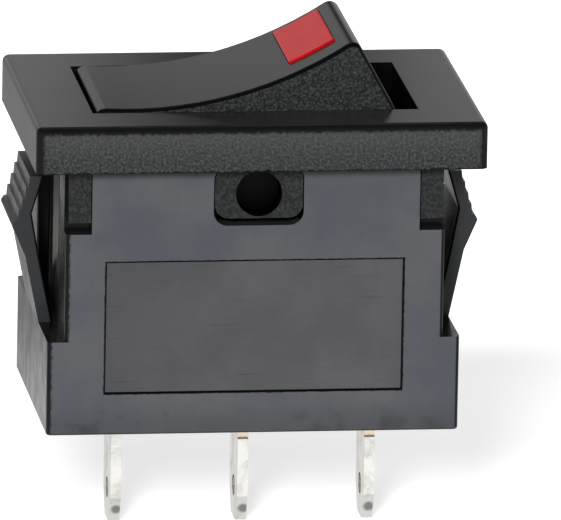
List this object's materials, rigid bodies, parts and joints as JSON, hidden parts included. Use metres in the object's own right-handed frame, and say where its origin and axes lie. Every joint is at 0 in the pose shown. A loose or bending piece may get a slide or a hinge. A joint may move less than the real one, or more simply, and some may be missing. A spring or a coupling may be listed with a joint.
{
  "type": "illuminated rocker switch",
  "caption": "Panel-mount rocker switch with a dished rocker, a red lamp window and solder terminals; it snaps into a rectangular cut-out.",
  "frame": {"origin": "centre of the bezel's underside, on the panel's outer face", "axes": "+Z points out of the panel, +X runs along the switch towards the rocker's raised end, +Y across it"},
  "size_m": [0.0218, 0.015, 0.0237],
  "materials": {
    "bezel_plastic": "satin, fine grain, black",
    "housing_plastic": "satin, black",
    "rocker_plastic": "satin on top, grained on the sides, black",
    "lens_red": "translucent red",
    "plunger_plastic": "smooth, off-white",
    "spring_cap_brass": "plain",
    "spring_steel": "drawn wire",
    "tinned_brass": "bright tin plate",
    "lever_copper": "plain copper alloy",
    "contact_silver": "dull silver",
    "lamp_glass": "clear glass",
    "resistor_body": "painted, tan",
    "sleeve_plastic": "soft, white",
    "lead_wire": "tinned wire"
  },
  "bodies": {
    "housing": {"housing_base": "housing_plastic", "bezel_frame": "bezel_plastic", "terminal_lamp": "tinned_brass", "terminal_common": "tinned_brass", "terminal_load": "tinned_brass", "fixed_contact": "contact_silver"},
    "rocker": {"rocker": "rocker_plastic", "rocker_lens": "lens_red", "spring_cap": "spring_cap_brass", "plunger_spring": "spring_steel", "lamp": "lamp_glass", "lamp_resistor": "resistor_body", "lamp_lead_common": "lead_wire", "lamp_lead_resistor": "lead_wire", "lamp_lead_contact": "lead_wire", "lead_sleeve": "sleeve_plastic", "lamp_contact_spring": "spring_steel"},
    "plunger": {"plunger": "plunger_plastic"},
    "contact_lever": {"contact_lever": "lever_copper", "moving_contact": "contact_silver"}
  },
  "joints": [
    {"name": "rocker_tilt", "type": "hinge", "parent": "housing", "child": "rocker", "pos_m": [0, 0, -0.00131], "axis": [0, 1, 0], "range_deg": [0, 29.2]},
    {"name": "lever_rock", "type": "hinge", "parent": "housing", "child": "contact_lever", "pos_m": [0.0001, 0, -0.00697], "axis": [0, 1, 0], "range_deg": [-16.01, 0]},
    {"name": "plunger_slide", "type": "slide", "parent": "rocker", "child": "plunger", "axis": [0.2521, 0, -0.9677], "range_m": [-0.0002, 0.0002], "stiffness_N_per_m": 200, "deforming": ["plunger_spring"]}
  ],
  "couplings": [
    {"joint": "lever_rock", "follows": "rocker_tilt", "ratio": -0.54795}
  ]
}
